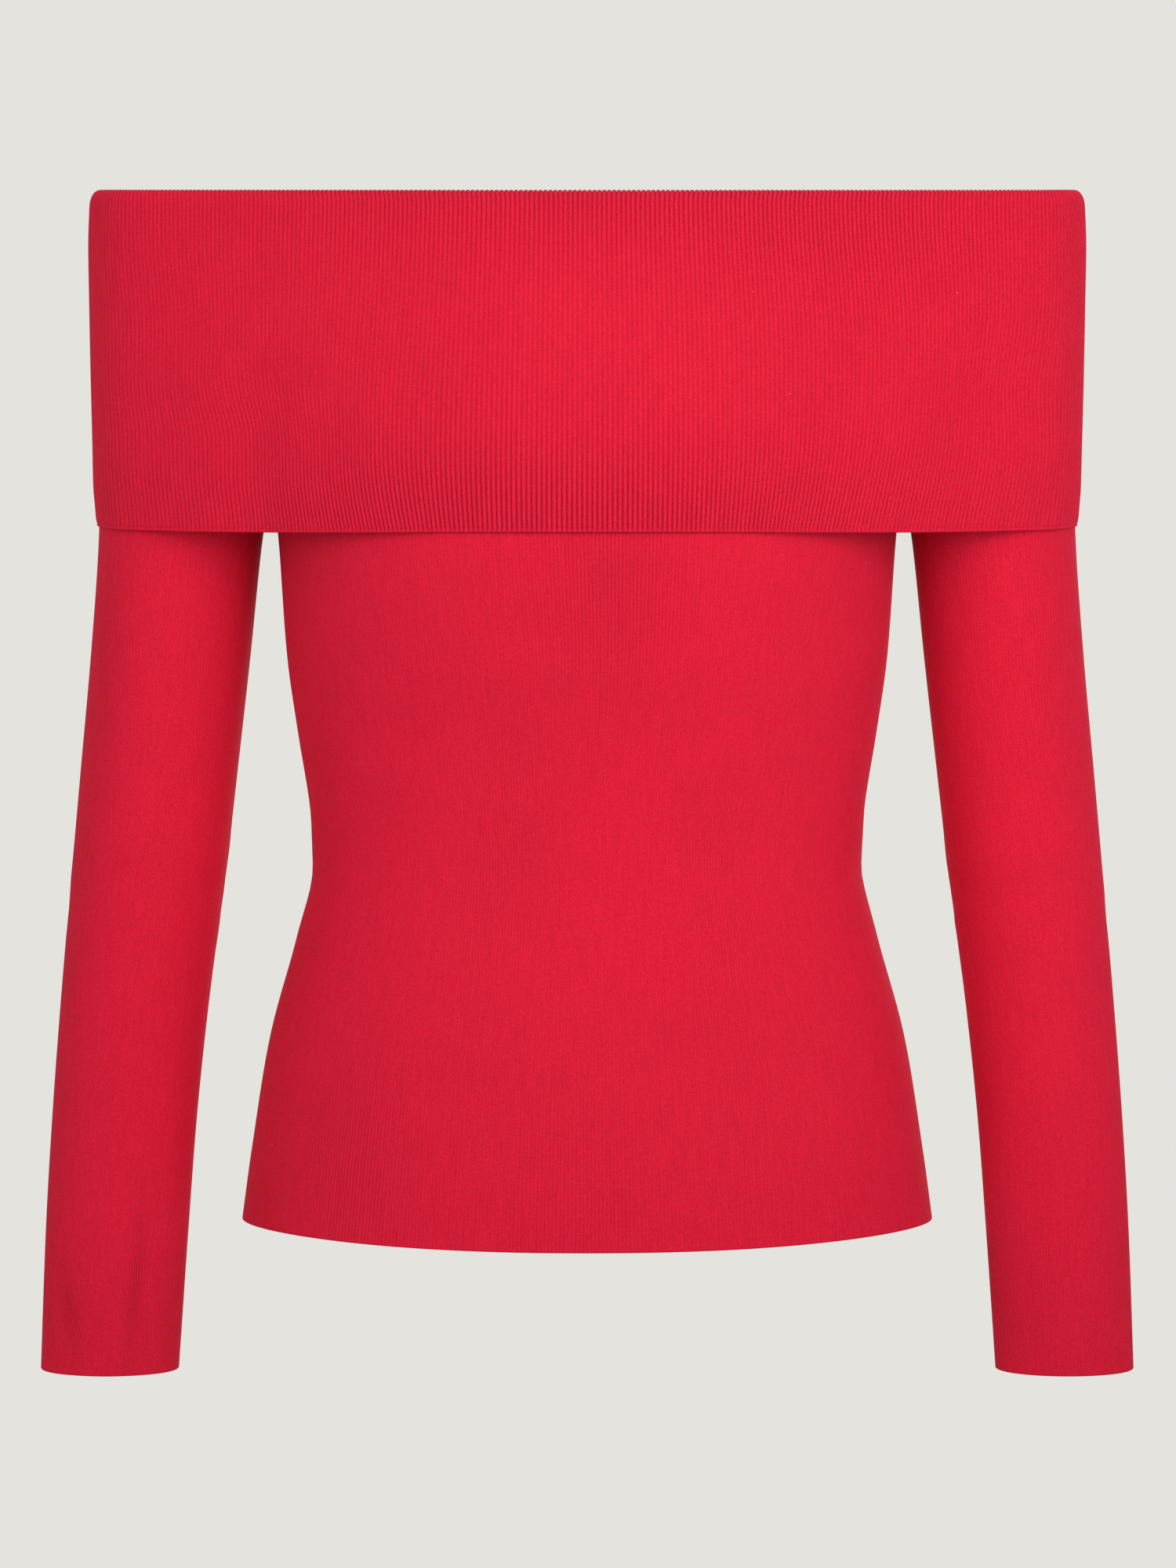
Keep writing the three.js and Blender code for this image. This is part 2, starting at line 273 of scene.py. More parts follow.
# %% [markdown]
# ## Ribs
#
# In 1x1 rib a round wale stands proud and a narrow furrow lies beside it. Modelling each stitch
# would take tens of millions of faces. A wale that is rounded by a few columns of points gives
# the light and shade of real ribs, and the stitches on it are left to the material.

# %% Rib profile across one wale
COLLAR_PHASES = np.array([0, 0.15, 0.36, 0.64, 0.85])
BODY_PHASES = np.array([0, 0.2, 0.5, 0.8])
WALE_ROUNDNESS = 0.45
MOST_OPEN = 1.2


def wale_columns(wales, phases):
    """Where the columns of points lie, counted in wales, from the first furrow to the last."""
    return np.append((np.arange(wales)[:, None] + phases).ravel(), wales)


def furrow_depth(places):
    """How far each place lies below the crest, from 0 to 1: one less the 0.45th power of a half
    sine across the wale, which gives a round wale and a narrow furrow. The seams at both ends
    are left full, so that the pieces close there."""
    depth = 1 - np.abs(np.sin(math.pi * places)) ** WALE_ROUNDNESS
    depth[[0, -1]] = 0
    return depth


# %% [markdown]
# ## Waves and folds
#
# The photographed cloth is nearly smooth. It has a few shallow waves where it was pulled over
# the arms and at the waist, and its ribs bow sideways in places. Each line of a table is one of
# them, placed from the picture and, for the leans of the band, from how closely its ribs
# lie there. Like ones are on the back and the sides that the picture doesn't show.


# %% Folds and leans from short tables
def folds(table, along, level):
    """Sum of soft ridges and hollows. Each line gives its place, its turn in degrees, its half
    length and half width, and its height: height times a bell across times a bell along."""
    total = np.zeros(np.broadcast(along, level).shape)
    for place, at, turn, half_length, half_width, height in table:
        right, up = along - place, level - at
        cos, sin = math.cos(math.radians(turn)), math.sin(math.radians(turn))
        lengthways = (right * cos + up * sin) / half_length
        sideways = (up * cos - right * sin) / half_width
        total = total + height * np.exp(-lengthways ** 2 - sideways ** 2)
    return total


def leans(table):
    """A sideways pull of the wales as a function of place and level. Each line gives its place,
    its half width and half height, and how far it pulls: the pull times a bell of both."""
    def pull(along, level):
        total = np.zeros(np.broadcast(along, level).shape)
        for place, at, half_width, half_height, far in table:
            bell = ((along - place) / half_width) ** 2 + ((level - at) / half_height) ** 2
            total = total + far * np.exp(-bell)
        return total
    return pull


# %% [markdown]
# ## From points to a shell of cloth
#
# A piece is a closed thin shell: the face that shows, with its ribs, the plain face behind it,
# and strips that close the edges. The plain face has far fewer columns, so the strips between
# join several columns to one.


# %% Mesh of a shell
def strip(fine, coarse):
    """Triangles between two edges that end together, where the fine one has a whole number of
    steps for each step of the coarse one: fans to the nearest coarse point, then the gaps."""
    ratio = (len(fine) - 1) // (len(coarse) - 1)
    cell = np.arange(len(fine) - 1)
    nearest = coarse[(cell + ratio // 2) // ratio]
    turn = np.arange(len(coarse) - 1)
    fans = np.column_stack([fine[:-1], nearest, fine[1:]])
    gaps = np.column_stack([fine[turn * ratio + ratio - ratio // 2], coarse[:-1], coarse[1:]])
    return np.vstack([fans, gaps])


def grid_faces(index):
    """Four-sided faces of a grid of point numbers, seen from outside with the first row up."""
    return np.column_stack([index[:-1, :-1].ravel(), index[1:, :-1].ravel(),
                            index[1:, 1:].ravel(), index[:-1, 1:].ravel()])


def shell(name, shown, hidden, columns, skip, way, opened, materials):
    """A closed shell from the grid of points that shows and the one behind it, in mm, which has
    every skip-th column. The UV map gives each point's wale number and its way down in mm, and
    the attribute open_ribs how far the ribs are open there, which also sets the painted furrow shade."""
    index = np.arange(shown.shape[0] * shown.shape[1]).reshape(shown.shape[:2])
    behind = index.size + np.arange(hidden.shape[0] * hidden.shape[1]).reshape(hidden.shape[:2])
    quads = [grid_faces(index), grid_faces(behind)[:, ::-1]]
    strips = [strip(index[-1], behind[-1]), strip(index[0], behind[0])[:, ::-1],
              strip(index[:, 0], behind[:, 0]), strip(index[:, -1], behind[:, -1])[:, ::-1]]
    points = np.vstack([shown.reshape(-1, 3), hidden.reshape(-1, 3)]) * MM
    faces = np.vstack(quads).tolist() + np.vstack(strips).tolist()
    mesh = bpy.data.meshes.new(name)
    mesh.from_pydata(points, [], faces)
    corner = np.empty(len(mesh.loops), np.int32)
    mesh.loops.foreach_get("vertex_index", corner)
    places = np.vstack([np.stack(np.broadcast_arrays(each, way[:, None]), axis=2).reshape(-1, 2)
                        for each in (columns, columns[::skip])])
    mesh.uv_layers.new(name="wales").data.foreach_set("uv", places[corner].ravel())
    open_ribs = np.concatenate([opened.ravel(), opened[:, ::skip].ravel()])
    mesh.attributes.new("open_ribs", "FLOAT", "POINT").data.foreach_set("value", open_ribs)
    side = np.zeros(len(faces), np.int32)
    side[len(quads[0]):len(quads[0]) + len(quads[1])] = 1
    for material in materials:
        mesh.materials.append(material)
    mesh.polygons.foreach_set("material_index", side)
    mesh.shade_smooth()
    mesh.update()
    made = bpy.data.objects.new(name, mesh)
    bpy.context.scene.collection.objects.link(made)
    print(name, len(points), "points", 2 * sum(map(len, quads)) + sum(map(len, strips)), "triangles")
    return made


def cut_of(face):
    """The plain face's cut in metres: its widest row, its middle column and its area, from the
    cross products of its cells' diagonals."""
    widths = np.linalg.norm(np.diff(face, axis=1), axis=2).sum(axis=1)
    middle = face[:, face.shape[1] // 2]
    length = np.linalg.norm(np.diff(middle, axis=0), axis=1).sum()
    one = face[1:, 1:] - face[:-1, :-1]
    other = face[:-1, 1:] - face[1:, :-1]
    area = np.linalg.norm(np.cross(one, other), axis=2).sum() / 2
    return widths.max() * MM, length * MM, area * MM * MM


# %% [markdown]
# ## Colour and a small node helper
#
# Colours are given as they look on a screen, and one function turns them to the linear values
# that the shader works in.


# %% Colour and nodes
def linear(colour):
    """The linear value of an sRGB hex colour such as D2173A, with its alpha."""
    parts = [int(colour[i:i + 2], 16) / 255 for i in (0, 2, 4)]
    return [p / 12.92 if p <= 0.04045 else ((p + 0.055) / 1.055) ** 2.4 for p in parts] + [1]


def add(tree, kind, settings=(), inputs=()):
    """One node with its settings, and with its sockets set to values or joined to outputs."""
    node = tree.nodes.new(kind)
    for name, value in dict(settings).items():
        setattr(node, name, value)
    for name, value in dict(inputs).items():
        socket = node.inputs[name]
        if isinstance(value, bpy.types.NodeSocket):
            tree.links.new(value, socket)
        else:
            socket.default_value = value
    return node


def new_material(name):
    """An empty material, its tree and its output node."""
    material = bpy.data.materials.new(name)
    material.use_nodes = True
    material.node_tree.nodes.clear()
    return material, material.node_tree, add(material.node_tree, "ShaderNodeOutputMaterial")


def calc(tree, operation, *values):
    """The output of a Math node for numbers or outputs."""
    return add(tree, "ShaderNodeMath", {"operation": operation}, dict(enumerate(values))).outputs[0]


def scaled(tree, value, factor):
    """A value times a plain number."""
    return calc(tree, "MULTIPLY", value, factor)


def together(tree, across, down):
    """A vector of two values, for a pattern in the wale map."""
    return add(tree, "ShaderNodeCombineXYZ", {}, {0: across, 1: down}).outputs[0]


def noise(tree, vector, detail, scale=1.0):
    """Soft noise from 0 to 1 at a place."""
    return add(tree, "ShaderNodeTexNoise", {}, {
        "Vector": vector, "Scale": float(scale), "Detail": float(detail)}).outputs[0]


def ramp(tree, value, low, high):
    """Zero at the low value and one at the high one, eased between."""
    return add(tree, "ShaderNodeMapRange", {"interpolation_type": "SMOOTHSTEP"}, {
        "Value": value, "From Min": low, "From Max": high}).outputs[0]


def mixed(tree, factor, first, second):
    """The first colour where the factor is 0 and the second where it is 1."""
    node = add(tree, "ShaderNodeMix", {"data_type": "RGBA"}, {0: factor, 6: first, 7: second})
    return node.outputs[2]


# %% [markdown]
# ## The yarn
#
# The cloth is a fine viscose-like rib knit: a matt, deep red yarn with a soft nap. To the eye
# that gives round wales with dark narrow furrows, a small mark at each stitch, slightly uneven
# wales and a fine grain from the nap. The furrows' shade comes from the mesh and is also painted
# into the colour. A few pale fibres lie on it. A picture of cloth could be wrapped on, but a
# pattern worked out from the wales and courses stays sharp at every distance.

# %% Rib-knit material
COURSE = 1.05
YARN = "DB1A37"
YARN_DARK = "C61531"
# Painted shade: the red that the furrows are darkened to in the colour
FURROW_SHADE_RED = "900C22"
LINT = "F2A6A8"
STITCH_DEPTH = 0.08
STITCH_SLANT = 0.45
MARK_SHARPNESS = 3
FURROW_SHARPNESS = 2.4
NAP_GRAIN = 0.7
RAGGED = 0.34
CLOUD_SIZE = 40

# A streak is about one wale wide and 17 mm long. The shares say how much each kind of unevenness
# counts, and the yarn goes from dark to light between the two tones.
STREAKS_PER_WALE = 0.9
STREAKS_PER_MM = 0.06
STREAK_SHARE = 0.25
CLOUD_SHARE = 0.1
NAP_SHARE = 0.65
DARK_TONE = 0.36
LIGHT_TONE = 0.64

# Pale fibres: a speck at one point of each cell of about 22 mm, seen where the cloth meets it
LINT_CELLS_PER_METRE = 45.0
LINT_OUTSIDE = 0.016
LINT_INSIDE = 0.008
LINT_STRENGTH = 0.7


def rib_knit(name, furrow_shade, rib_height, nap_height):
    """Rib-knit yarn on the wale map. furrow_shade is how much shade is painted into the furrows,
    from 0 to 1, rib_height the height in mm of ribs that the mesh itself doesn't have, and
    nap_height how rough the yarn is."""
    material, tree, output = new_material(name)
    wales = add(tree, "ShaderNodeUVMap", {"uv_map": "wales"}).outputs[0]
    parts = add(tree, "ShaderNodeSeparateXYZ", {}, {0: wales}).outputs
    wale, down = parts[0], parts[1]
    surface = add(tree, "ShaderNodeTexCoord").outputs["Object"]
    nap = noise(tree, surface, 2, scale=1000 / NAP_GRAIN)
    ragged = calc(tree, "MULTIPLY_ADD", nap, RAGGED, calc(tree, "SUBTRACT", wale, RAGGED / 2))
    aside = calc(tree, "ABSOLUTE", calc(tree, "SUBTRACT", calc(tree, "FRACT", ragged), 0.5))
    off_crest = calc(tree, "MULTIPLY", aside, 2)
    furrow = calc(tree, "POWER", off_crest, FURROW_SHARPNESS)

    # A stitch is a V along the wale, so its mark comes later away from the crest. The wales are
    # out of step with each other, as slack and tight stitches make them in worn cloth.
    own_step = add(tree, "ShaderNodeTexWhiteNoise", {"noise_dimensions": "1D"}, {
        "W": calc(tree, "FLOOR", wale)}).outputs["Value"]
    stitches = calc(tree, "ADD", calc(tree, "DIVIDE", down, COURSE), own_step)
    course = calc(tree, "MULTIPLY_ADD", off_crest, STITCH_SLANT, stitches)
    wave = calc(tree, "SINE", calc(tree, "MULTIPLY", course, 2 * math.pi))
    mark = calc(tree, "POWER", calc(tree, "MULTIPLY_ADD", wave, 0.5, 0.5), MARK_SHARPNESS)

    # Uneven yarn: streaks along single wales, slow clouds over the cloth, and its fine nap.
    streaks = together(tree, scaled(tree, wale, STREAKS_PER_WALE), scaled(tree, down, STREAKS_PER_MM))
    streak = noise(tree, streaks, 3)
    cloud = noise(tree, surface, 2, scale=1000 / CLOUD_SIZE)
    slow = calc(tree, "ADD", scaled(tree, streak, STREAK_SHARE), scaled(tree, cloud, CLOUD_SHARE))
    uneven = calc(tree, "ADD", slow, scaled(tree, nap, NAP_SHARE))
    tone = ramp(tree, uneven, DARK_TONE, LIGHT_TONE)
    yarn = mixed(tree, tone, linear(YARN_DARK), linear(YARN))

    # Painted shade: the furrows are darkened in the colour where the ribs are open, broken up by
    # the stitches beside them.
    opened = add(tree, "ShaderNodeAttribute", {"attribute_name": "open_ribs"}).outputs["Fac"]
    notched = calc(tree, "MULTIPLY", furrow, calc(tree, "MULTIPLY_ADD", mark, 0.8, 0.55))
    shade = calc(tree, "MULTIPLY", notched, scaled(tree, opened, furrow_shade))
    shaded = mixed(tree, shade, yarn, linear(FURROW_SHADE_RED))
    lint_cells = add(tree, "ShaderNodeTexVoronoi", {"feature": "F1"}, {
        "Vector": surface, "Scale": LINT_CELLS_PER_METRE})
    lint = ramp(tree, lint_cells.outputs["Distance"], LINT_OUTSIDE, LINT_INSIDE)
    colour = mixed(tree, scaled(tree, lint, LINT_STRENGTH), shaded, linear(LINT))

    stitch_height = calc(tree, "MULTIPLY", mark, scaled(tree, off_crest, -STITCH_DEPTH))
    rib = calc(tree, "MULTIPLY", calc(tree, "POWER", off_crest, 2), -rib_height)
    height = calc(tree, "ADD", calc(tree, "ADD", stitch_height, rib), scaled(tree, nap, nap_height))
    bump = add(tree, "ShaderNodeBump", {}, {"Height": height, "Distance": MM, "Strength": 1.0})
    cloth = add(tree, "ShaderNodeBsdfPrincipled", {}, {
        "Base Color": colour, "Normal": bump.outputs[0], "Roughness": 0.88,
        "Specular IOR Level": 0.12, "Sheen Weight": 0.06, "Sheen Roughness": 0.5,
        "Sheen Tint": linear("E07FB4")})
    tree.links.new(cloth.outputs[0], output.inputs["Surface"])
    print(material.name, len(tree.nodes), "nodes")
    return material


# The second number is how much shade is painted into the furrows
collar_face = rib_knit("rib_knit_collar", 0.95, 0, 0.3)
body_face = rib_knit("rib_knit_body", 0.75, 0, 0.1)
sleeve_face = rib_knit("rib_knit_sleeve", 0.75, 0, 0.1)
reverse = rib_knit("rib_knit_reverse", 0.9, 0.3, 0.1)

# %% [markdown]
# ## Rows of a piece
#
# A piece's rows run from its top edge to its lower one. At a free edge the last rows roll round
# the thickness of the wall, as a bound-off edge does, so it is soft and round and not cut.

# %% Rows with a rolled edge
EDGE_TURNS = np.radians([0, 25, 50, 70, 82])


def rows_to(levels, end, roll=WALL / 2):
    """Levels and insets of the face that shows and of the one behind it: the given levels, then
    a half ellipse round the wall's thickness down to the end, as high as the roll. It stops just
    short of the tip, where a narrow strip joins both faces."""
    radius = WALL / 2
    turn_levels = end + roll * (1 - np.sin(EDGE_TURNS))
    turn_insets = radius * (1 - np.cos(EDGE_TURNS))
    level = np.append(levels, turn_levels)
    shown_inset = np.append(np.zeros(len(levels)), turn_insets)
    hidden_inset = np.append(np.full(len(levels), WALL), WALL - turn_insets)
    return level, shown_inset, hidden_inset


# %% [markdown]
# ## Body
#
# The body is two pieces, a front and a back, joined under the arms. Below the underarm a row
# is the piece's own half of the body's ring. Above it, under the band, the row passes over into
# its part of the hull, first at the edges, which run up as the armhole seams.

# %% Body sizes
# The relief is the depth of an open furrow, and closed says how open the furrows are where
# nothing pulls them apart
BODY_WALES = 248
BODY_RELIEF = 0.32
BODY_CLOSED = 0.2
RIBS_END_OVER = 2.5
FOLDS_START_OVER = 25
FOLDS_AT_UNDERARM = 0.4
ARMHOLE_AT_NECK = 0.6
EDGE_EASE = 0.6
MIDDLE_EASE = 1.9
HIDDEN_SKIP = 8
TOP_ROWS = 14
BODY_ROWS = 58
LAST_PLAIN_ROW = 1.6
PIECE_TOP = NECK_SEAM - NECK_HALF_GAP
TOP_LEVELS = np.linspace(PIECE_TOP, UNDERARM, TOP_ROWS)
BODY_LEVELS = np.linspace(UNDERARM, HEM + LAST_PLAIN_ROW, BODY_ROWS)[1:]

# Each fold: place along the section from the piece's middle, level, turn in degrees, half
# length, half width, height
FRONT_FOLDS = (
    (-160, -290, 12, 42, 8, 0.6),
    (-160, -309, 8, 46, 8, -0.5),
    (-152, -326, 4, 40, 9, 0.4),
    (160, -288, -10, 40, 8, 0.6),
    (160, -306, -6, 44, 8, -0.5),
    (155, -324, -3, 38, 9, 0.4),
    (-60, -165, 62, 60, 16, 0.5),
    (70, -170, -60, 60, 16, 0.5),
    (-30, -392, 84, 70, 22, 0.6),
    (62, -400, 95, 60, 20, 0.5),
    (-120, -400, 78, 60, 18, -0.5),
)
BACK_FOLDS = (
    (-150, -288, 10, 50, 8, 0.8),
    (-130, -306, 6, 60, 8, -0.8),
    (-140, -323, 2, 50, 9, 0.6),
    (150, -290, -9, 50, 8, 0.8),
    (130, -308, -5, 60, 8, -0.8),
    (145, -325, -2, 50, 9, 0.6),
    (0, -312, 0, 60, 9, 0.8),
    (0, -330, 0, 70, 9, -0.7),
    (-50, -410, 88, 60, 24, 0.7),
    (55, -405, 92, 60, 24, 0.6),
)
# Each lean: place, level, half width, half height, pull
FRONT_LEANS = (
    (-20, -205, 60, 40, 1.2),
    (80, -300, 60, 50, -1.5),
    (-90, -330, 60, 50, 1.5),
)
BACK_LEANS = (
    (-60, -240, 60, 60, 1.5),
    (70, -350, 70, 50, -1.5),
)
# Where the ribs open: place, level, turn, half length, half width, how much
FRONT_OPEN = (
    (12, -168, 90, 50, 30, 0.7),
    (-4, -440, 90, 46, 30, 0.25),
    (-104, -432, 96, 60, 26, 0.4),
    (-40, -300, 84, 60, 20, 0.25),
    (60, -330, 96, 70, 18, 0.25),
)
BACK_OPEN = (
    (0, -190, 90, 70, 50, 0.6),
    (20, -400, 90, 60, 60, 0.5),
)


# %% A body or sleeve piece
def seam_angle(level, middle):
    """The angle of the armhole seam at each level. It lies a set share of the way along the
    hull, from the piece's middle to the arm's outer side."""
    angle, way = walk(hull_reach, level, middle, 0)
    goal = way[:, -1] * ARMHOLE_AT_NECK
    return np.array([np.interp(g, w, a) for g, w, a in zip(goal, way, angle)])


def piece_points(plan, level, share, profile, inset):
    """Points of a piece's face in mm, and how open its ribs are. A point is the ring's, passing
    over to the hull's by up to the power of its column's ease, then moved along its normal by
    the folds, less the ribs' relief and the inset."""
    shares = np.broadcast_to(share, (len(level), len(share)))
    at = level[:, None]
    own, along = spread(plan["ring"], level, *plan["ends"], shares, plan["leans"])
    part, _ = spread(hull_reach, level, *plan["hull_ends"](level), shares)
    up = np.clip((at - UNDERARM) / (PIECE_TOP - UNDERARM), 0, 1)
    passed = up ** blend(EDGE_EASE, MIDDLE_EASE, np.sin(math.pi * share))
    x, y, nx, ny = (blend(a, b, passed) for a, b in zip(own, part))
    opened = np.clip(plan["closed"] + folds(plan["open"], along, at), 0, MOST_OPEN)
    ribs = plan["relief"] * opened * profile * smooth((at - plan["end"]) / RIBS_END_OVER)
    below_underarm = smooth((UNDERARM - at) / FOLDS_START_OVER + FOLDS_AT_UNDERARM)
    out = folds(plan["folds"], along, at) * below_underarm - ribs - inset[:, None]
    size = np.hypot(nx, ny)
    z = at + plan["drop"](at, y)
    return np.stack([x + out * nx / size, y + out * ny / size, z], axis=2), opened


def hang_piece(name, plan):
    """A whole body or sleeve piece: its ribbed face, the plain one behind it and its cut."""
    level, shown_inset, hidden_inset = rows_to(plan["levels"], plan["end"])
    columns = wale_columns(plan["wales"], BODY_PHASES)
    share = columns / plan["wales"]
    plain = np.zeros(len(share[::HIDDEN_SKIP]))
    shown, opened = piece_points(plan, level, share, furrow_depth(columns), shown_inset)
    hidden, _ = piece_points(plan, level, share[::HIDDEN_SKIP], plain, hidden_inset)
    flat, _ = piece_points(plan, level, share[::HIDDEN_SKIP], plain, shown_inset * 0)
    made = shell(name, shown, hidden, columns, HIDDEN_SKIP, level[0] - level, opened,
                 (plan["face"], reverse))
    return made, cut_of(flat)


def body_piece(name, start, fold_table, lean_table, open_table):
    """One half of the body, starting at the left side for the front and the right for the back."""
    middle = start + math.pi / 2

    def hull_ends(level):
        to_seam = np.abs(seam_angle(level, middle) - middle)
        return middle - to_seam, middle + to_seam

    return hang_piece(name, {
        "ring": body_reach, "ends": (start, start + math.pi), "hull_ends": hull_ends,
        "drop": body_drop, "levels": np.append(TOP_LEVELS, BODY_LEVELS), "end": HEM,
        "wales": BODY_WALES, "relief": BODY_RELIEF, "closed": BODY_CLOSED, "folds": fold_table,
        "leans": leans(lean_table), "open": open_table, "face": body_face})


front, front_cut = body_piece("knit_body_front", -math.pi, FRONT_FOLDS, FRONT_LEANS, FRONT_OPEN)
back, back_cut = body_piece("knit_body_back", 0, BACK_FOLDS, BACK_LEANS, BACK_OPEN)
print("cuts in mm", [round(1000 * v, 1) for v in (*front_cut[:2], *back_cut[:2])])

# %% [markdown]
# ## Sleeves
#
# Each sleeve is one piece, rolled to a tube and closed by a seam at the underarm. The right one
# is worked out, and the left one is its mirror image with folds of its own, so that the two
# sides aren't copies.

# %% Sleeves
SLEEVE_WALES = 156
SLEEVE_RELIEF = 0.28
SLEEVE_CLOSED = 0.2
SLEEVE_ROWS = 60
SLEEVE_LEVELS = np.linspace(UNDERARM, CUFF + LAST_PLAIN_ROW, SLEEVE_ROWS)[1:]

# Places run round the arm from its underarm seam: negative at the front, zero at the outside
RIGHT_FOLDS = (
    (-70, -300, 12, 34, 6, 0.9),
    (-80, -314, 8, 36, 6, -0.9),
    (-68, -328, -4, 34, 7, 0.8),
    (-52, -470, 60, 40, 8, 0.6),
    (60, -305, 8, 50, 7, 0.7),
    (50, -322, 2, 46, 8, -0.8),
    (-40, -205, 70, 50, 10, 0.5),
    (-30, -395, 75, 60, 10, -0.5),
)
LEFT_FOLDS = (
    (-74, -296, 14, 34, 6, 0.8),
    (-80, -310, 6, 38, 6, -0.9),
    (-70, -330, 0, 34, 7, 0.7),
    (-40, -494, 84, 30, 8, 0.6),
    (-58, -490, 96, 26, 5, -0.7),
    (-22, -500, 78, 24, 5, -0.5),
    (58, -300, 6, 50, 7, 0.7),
    (52, -325, -4, 46, 8, -0.8),
    (-45, -260, 80, 60, 10, 0.5),
)
RIGHT_LEANS = (
    (-50, -420, 40, 40, 2.5),
    (-40, -230, 40, 40, -1.5),
)
LEFT_LEANS = (
    (-34, -516, 30, 20, -6.0),
    (-60, -478, 14, 12, 2.6),
    (-40, -240, 40, 40, -1.5),
)
RIGHT_OPEN = (
    (-56, -490, 96, 40, 14, 0.35),
    (-24, -500, 84, 30, 8, 0.3),
    (-40, -200, 90, 50, 14, 0.4),
)
LEFT_OPEN = (
    (-56, -484, 96, 30, 4, 1.0),
    (-26, -498, 80, 16, 5, 1.0),
    (-30, -210, 90, 50, 14, 0.4),
)


def flipped(made):
    """The piece mirrored in X, with its faces turned round so that they still point outwards."""
    mesh = made.data
    place = np.empty(3 * len(mesh.vertices))
    mesh.vertices.foreach_get("co", place)
    place[::3] *= -1
    mesh.vertices.foreach_set("co", place)
    mesh.flip_normals()
    mesh.update()
    return made


def sleeve_piece(name, fold_table, lean_table, open_table):
    """The right arm's sleeve, from its underarm seam round the outside and back to it."""
    def hull_ends(level):
        return seam_angle(level, -math.pi / 2), seam_angle(level, math.pi / 2)

    return hang_piece(name, {
        "ring": arm_reach, "ends": (-math.pi, math.pi), "hull_ends": hull_ends,
        "drop": sleeve_drop, "levels": np.append(TOP_LEVELS, SLEEVE_LEVELS), "end": CUFF,
        "wales": SLEEVE_WALES, "relief": SLEEVE_RELIEF, "closed": SLEEVE_CLOSED,
        "folds": fold_table, "leans": leans(lean_table), "open": open_table, "face": sleeve_face})


right, sleeve_cut = sleeve_piece("knit_sleeve_right", RIGHT_FOLDS, RIGHT_LEANS, RIGHT_OPEN)
left, _ = sleeve_piece("knit_sleeve_left", LEFT_FOLDS, LEFT_LEANS, LEFT_OPEN)
flipped(left)
print("sleeve cut in mm", [round(1000 * v, 1) for v in sleeve_cut[:2]])

# %% [markdown]
# ## Collar band
#
# The band is knitted double in length and folded over: it goes up from the neck seam as an
# inner layer, turns over in a soft fold, and falls as the wide outer layer. Its section is one
# path of offsets from the hull and levels, and the ribs follow that path all the way.

# %% Collar path
COLLAR_WALES = 248
COLLAR_RELIEF = 0.8
COLLAR_CLOSED = 0.3
FOLD_HEIGHT = 8
FOLD_FOOT = -8.6
FOLD_OUTSIDE = 4.6
FOLD_INSIDE = -4.4
LEAN_STARTS_AT = -46
FALL_STARTS_OVER = 30
INNER_ROWS = 8
FOLD_ROWS = 13
FALL_ROWS = 32

# The free edge: how far above it the cord and the groove lie, and where the rows come closer
EDGE_CORD = 0.6
EDGE_CORD_HEIGHT = 0.3
EDGE_GROOVE = 1.35
EDGE_GROOVE_DEPTH = 0.35
EDGE_LINE_WIDTH = 0.35
EDGE_ROLL = 0.35
EDGE_ROWS_START = 6
EDGE_STEPS = np.array([3.6, 2.6, 2, 1.65, 1.35, 1.1, 0.85, 0.6])
CORD_NOTCH = 0.6
TIPS_BELOW_GROOVE = 0.2
TIPS_OVER = 0.9

# The tucked lower corners: where they start across and above the edge, and how far they go in
SIDE_STARTS_AT = 204
SIDE_OVER = 12
SIDE_TUCK = 0.7
TUCK_TOP = 18
TUCK_OVER = 14
TUCK_FOOT = 5
SIDE_SMOOTHS_EDGE = 0.8
CLEAR_OF_SLEEVE = 0.22

# What keeps the ribs upright on the slanting flanks: how much, and over which places
UPRIGHT = 0.65
FLANK_FULL_AT = 80
FLANK_ENDS_AT = 250
FLANK_FADES_OVER = 60

# How far the outer layer stands off the hull on its way down
FALL = {
    "level": (FOLD_FOOT, -24, -50, -85, -119, BAND_EDGE),
    "offset": (FOLD_OUTSIDE, 5.1, 4.7, 4, 3.1, 2.3),
}
COLLAR_SKIP = 5


def collar_path():
    """Offset, level and outward direction of each row, and the insets of both faces: up the
    inner layer, over a half ellipse, down the fall, and round the free edge."""
    inner_level = np.linspace(NECK_SEAM + NECK_HALF_GAP, FOLD_FOOT, INNER_ROWS)[:-1]
    leaning = smooth((inner_level - LEAN_STARTS_AT) / (FOLD_FOOT - LEAN_STARTS_AT))
    inner_offset = blend(-WALL, FOLD_INSIDE, leaning)
    turn = np.radians(np.linspace(180, 0, FOLD_ROWS))
    centre, radius = (FOLD_OUTSIDE + FOLD_INSIDE) / 2, (FOLD_OUTSIDE - FOLD_INSIDE) / 2
    fold_offset = centre + radius * np.cos(turn)
    fold_level = FOLD_FOOT + FOLD_HEIGHT * np.sin(turn)
    even_rows = np.linspace(FOLD_FOOT, BAND_EDGE + EDGE_ROWS_START, FALL_ROWS)[1:]
    fall_level, shown_inset, hidden_inset = rows_to(
        np.append(even_rows, BAND_EDGE + EDGE_STEPS), BAND_EDGE, EDGE_ROLL)
    before = len(inner_level) + len(turn)
    offset = np.concatenate([inner_offset, fold_offset, column(FALL, "offset", fall_level)])
    level = np.concatenate([inner_level, fold_level, fall_level])
    sideways = np.concatenate([-np.ones(len(inner_level)), np.cos(turn), np.ones(len(fall_level))])
    upwards = np.concatenate([np.zeros(len(inner_level)), np.sin(turn), np.zeros(len(fall_level))])
    shown = np.append(np.zeros(before), shown_inset)
    hidden = np.append(np.full(before, WALL), hidden_inset)
    return offset, level, sideways, upwards, shown, hidden


